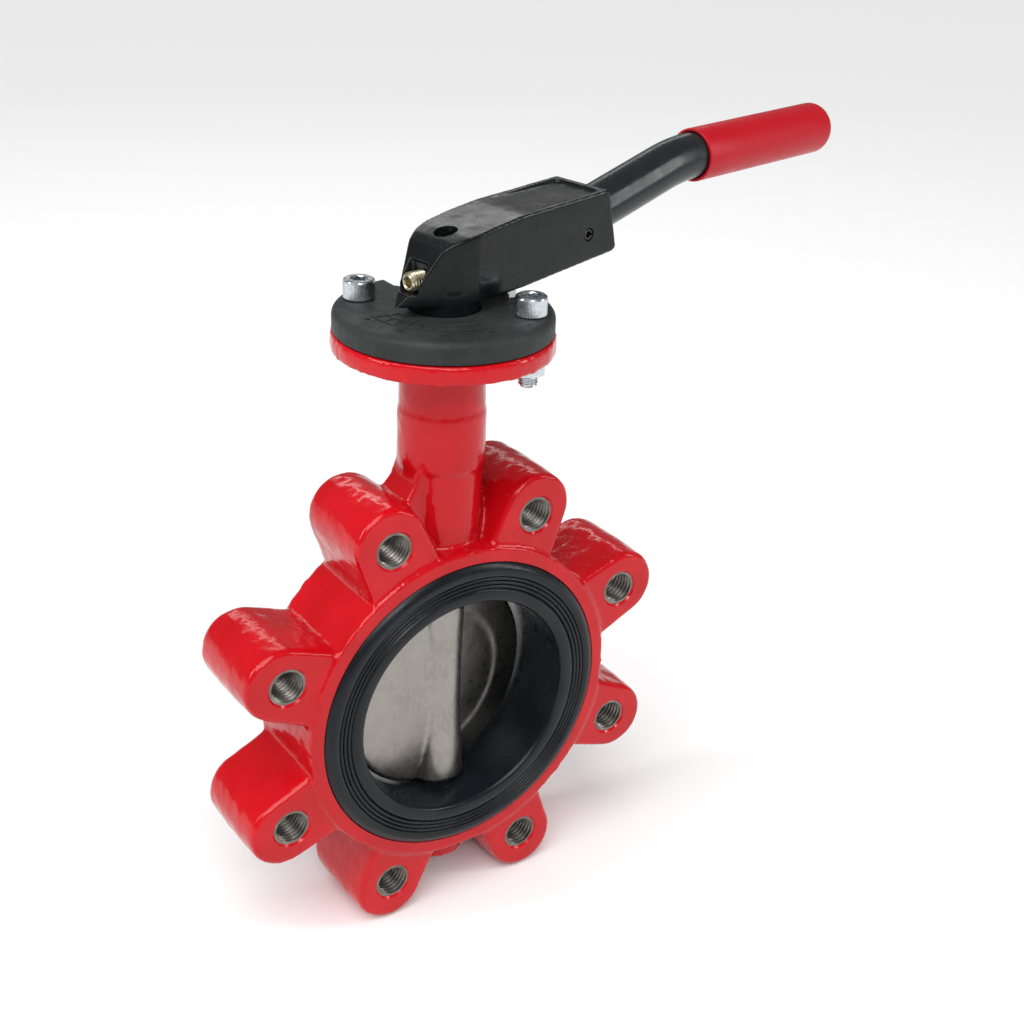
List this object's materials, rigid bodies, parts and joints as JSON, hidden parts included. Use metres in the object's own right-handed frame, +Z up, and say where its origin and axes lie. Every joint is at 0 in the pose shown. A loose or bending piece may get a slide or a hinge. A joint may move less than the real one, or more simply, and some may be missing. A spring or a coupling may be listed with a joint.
{
  "type": "butterfly valve",
  "caption": "Lug-type butterfly valve with a rubber-lined bore, a metal disc on a stem and a notched hand lever.",
  "frame": {"origin": "centre of the bore, midway between the two pipe faces", "axes": "+Y along the pipe, +Z up the stem to the lever, +X along the shut lever"},
  "size_m": [0.3403, 0.098, 0.3324],
  "materials": {
    "red_enamel": "gloss",
    "black_rubber": "satin",
    "cast_nickel": "satin",
    "turned_steel": "satin",
    "bearing_bronze": "satin",
    "grey_plastic": "matte",
    "bright_zinc": "satin",
    "yellow_zinc": "satin",
    "black_paint": "semi-gloss",
    "red_vinyl": "satin"
  },
  "bodies": {
    "housing": {"body": "red_enamel", "liner": "black_rubber", "bush_upper": "bearing_bronze", "bush_middle": "bearing_bronze", "bush_lower": "bearing_bronze", "thrust_washer": "turned_steel", "bottom_plug": "bright_zinc", "plug_seal": "black_rubber", "notch_plate": "grey_plastic", "cap_screw_left": "bright_zinc", "cap_screw_right": "bright_zinc", "hex_nut_left": "bright_zinc", "hex_nut_right": "bright_zinc"},
    "rotor": {"disc": "cast_nickel", "stem_upper": "turned_steel", "stem_lower": "turned_steel", "o_ring_upper": "black_rubber", "o_ring_lower": "black_rubber", "retaining_ring": "turned_steel", "lever_head": "black_paint", "set_screw": "yellow_zinc", "roll_pin": "turned_steel", "latch_spring": "turned_steel"},
    "latch": {"lever_tube": "black_paint", "grip": "red_vinyl", "latch_tooth": "turned_steel"}
  },
  "joints": [
    {"name": "stem_turn", "type": "hinge", "parent": "housing", "child": "rotor", "pos_m": [0, 0, 0], "axis": [0, 0, 1], "range_deg": [-10, 80]},
    {"name": "latch_lift", "type": "hinge", "parent": "rotor", "child": "latch", "pos_m": [0.0646, 0.01139, 0.1961], "axis": [0.1736, -0.9848, 0], "range_deg": [-4, 3], "stiffness_Nm_per_rad": 5, "springref_deg": 2.86}
  ]
}
